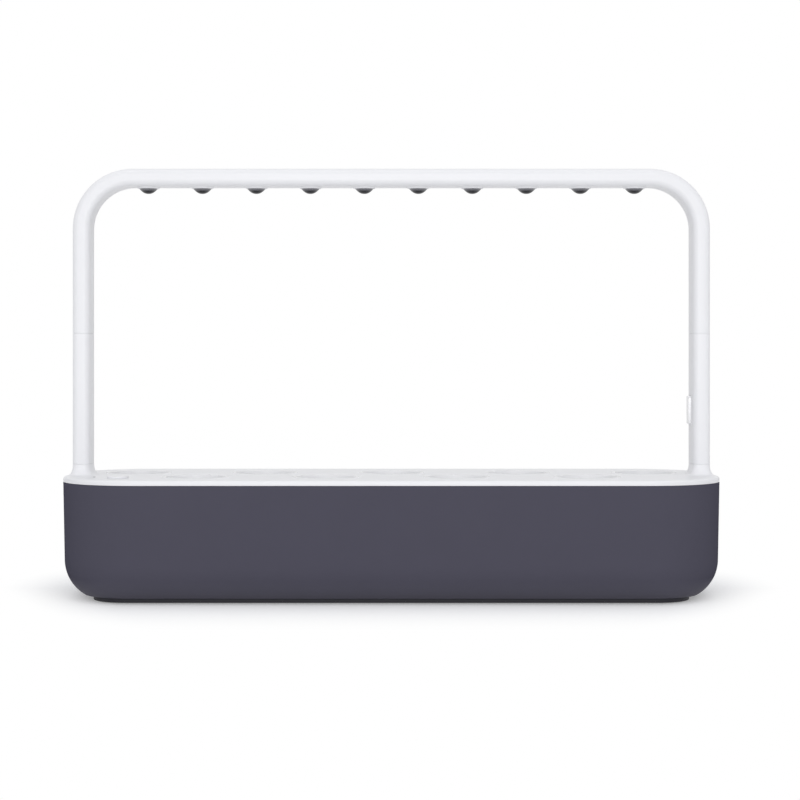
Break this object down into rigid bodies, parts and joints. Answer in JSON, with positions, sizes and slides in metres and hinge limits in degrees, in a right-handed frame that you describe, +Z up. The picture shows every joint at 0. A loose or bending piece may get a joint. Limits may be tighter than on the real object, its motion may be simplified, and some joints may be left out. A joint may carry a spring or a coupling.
{
  "type": "countertop hydroponic garden",
  "caption": "Long round-ended water tank with a white lid that holds plant cups and a float gauge, and an arched LED grow lamp on plug-in extension tubes.",
  "frame": {"origin": "on the resting surface, under the middle of the tank", "axes": "+X along the tank towards the powered end, +Y towards the back, +Z up"},
  "size_m": [0.611, 0.185, 0.4003],
  "materials": {
    "tank_slate": "satin moulded, dark slate grey",
    "plinth_black": "matt moulded, near black",
    "foot_rubber": "matt",
    "screw_steel": "zinc plated",
    "shell_white": "satin moulded, cool white",
    "cup_white": "satin moulded white",
    "float_foam": "closed-cell foam, matt",
    "inlet_black": "moulded black",
    "contact_plastic": "moulded grey",
    "lens_smoked": "clear gloss over a dark interior",
    "board_white": "white solder mask",
    "driver_green": "green solder mask",
    "spreader_aluminium": "mill finish",
    "lead_sheath": "flexible sheath, grey"
  },
  "bodies": {
    "tank": {"water_tank": "tank_slate", "base_plinth": "plinth_black", "rubber_foot_front_left": "foot_rubber", "rubber_foot_front_right": "foot_rubber", "rubber_foot_back_left": "foot_rubber", "rubber_foot_back_right": "foot_rubber", "base_screw_front_left": "screw_steel", "base_screw_front_right": "screw_steel", "base_screw_back_left": "screw_steel", "base_screw_back_right": "screw_steel"},
    "lid": {"lid": "shell_white", "vent_plug": "foot_rubber", "float_guide": "shell_white", "power_inlet": "inlet_black", "lid_contact_block": "contact_plastic"},
    "float": {"float_cap": "shell_white", "float_stem": "shell_white", "float_bob": "float_foam"},
    "cup_1": {"plant_cup_1": "cup_white"},
    "cup_2": {"plant_cup_2": "cup_white"},
    "cup_3": {"plant_cup_3": "cup_white"},
    "cup_4": {"plant_cup_4": "cup_white"},
    "cup_5": {"plant_cup_5": "cup_white"},
    "cup_6": {"plant_cup_6": "cup_white"},
    "cup_7": {"plant_cup_7": "cup_white"},
    "cup_8": {"plant_cup_8": "cup_white"},
    "cup_9": {"plant_cup_9": "cup_white"},
    "left_extension": {"left_extension_tube": "shell_white"},
    "right_extension": {"right_extension_tube": "shell_white", "extension_wiring": "contact_plastic", "button_switch": "contact_plastic"},
    "button": {"light_button": "shell_white"},
    "lamp": {"lamp_arch": "shell_white", "lamp_cover": "shell_white", "led_board": "board_white", "heat_spreader": "spreader_aluminium", "lamp_screw_1": "screw_steel", "lamp_screw_2": "screw_steel", "lamp_screw_3": "screw_steel", "arch_contact_block": "contact_plastic", "driver_board": "driver_green", "lamp_lead": "lead_sheath", "led_lens_1": "lens_smoked", "led_lens_2": "lens_smoked", "led_lens_3": "lens_smoked", "led_lens_4": "lens_smoked", "led_lens_5": "lens_smoked", "led_lens_6": "lens_smoked", "led_lens_7": "lens_smoked", "led_lens_8": "lens_smoked", "led_lens_9": "lens_smoked", "led_lens_10": "lens_smoked"}
  },
  "joints": [
    {"name": "lid_lift", "type": "slide", "parent": "tank", "child": "lid", "axis": [0, 0, 1], "range_m": [0, 0.09]},
    {"name": "float_rise", "type": "slide", "parent": "lid", "child": "float", "axis": [0, 0, 1], "range_m": [0, 0.02]},
    {"name": "cup_1_lift", "type": "slide", "parent": "lid", "child": "cup_1", "axis": [0, 0, 1], "range_m": [0, 0.06]},
    {"name": "cup_2_lift", "type": "slide", "parent": "lid", "child": "cup_2", "axis": [0, 0, 1], "range_m": [0, 0.06]},
    {"name": "cup_3_lift", "type": "slide", "parent": "lid", "child": "cup_3", "axis": [0, 0, 1], "range_m": [0, 0.06]},
    {"name": "cup_4_lift", "type": "slide", "parent": "lid", "child": "cup_4", "axis": [0, 0, 1], "range_m": [0, 0.06]},
    {"name": "cup_5_lift", "type": "slide", "parent": "lid", "child": "cup_5", "axis": [0, 0, 1], "range_m": [0, 0.06]},
    {"name": "cup_6_lift", "type": "slide", "parent": "lid", "child": "cup_6", "axis": [0, 0, 1], "range_m": [0, 0.06]},
    {"name": "cup_7_lift", "type": "slide", "parent": "lid", "child": "cup_7", "axis": [0, 0, 1], "range_m": [0, 0.06]},
    {"name": "cup_8_lift", "type": "slide", "parent": "lid", "child": "cup_8", "axis": [0, 0, 1], "range_m": [0, 0.06]},
    {"name": "cup_9_lift", "type": "slide", "parent": "lid", "child": "cup_9", "axis": [0, 0, 1], "range_m": [0, 0.06]},
    {"name": "left_extension_lift", "type": "slide", "parent": "lid", "child": "left_extension", "axis": [0, 0, 1], "range_m": [0, 0.03]},
    {"name": "right_extension_lift", "type": "slide", "parent": "lid", "child": "right_extension", "axis": [0, 0, 1], "range_m": [0, 0.03]},
    {"name": "lamp_lift", "type": "slide", "parent": "left_extension", "child": "lamp", "axis": [0, 0, 1], "range_m": [0, 0.03]},
    {"name": "button_press", "type": "slide", "parent": "right_extension", "child": "button", "axis": [1, 0, 0], "range_m": [0, 0.001], "stiffness_N_per_m": 600}
  ],
  "couplings": [
    {"joint": "right_extension_lift", "follows": "left_extension_lift", "ratio": 1}
  ]
}
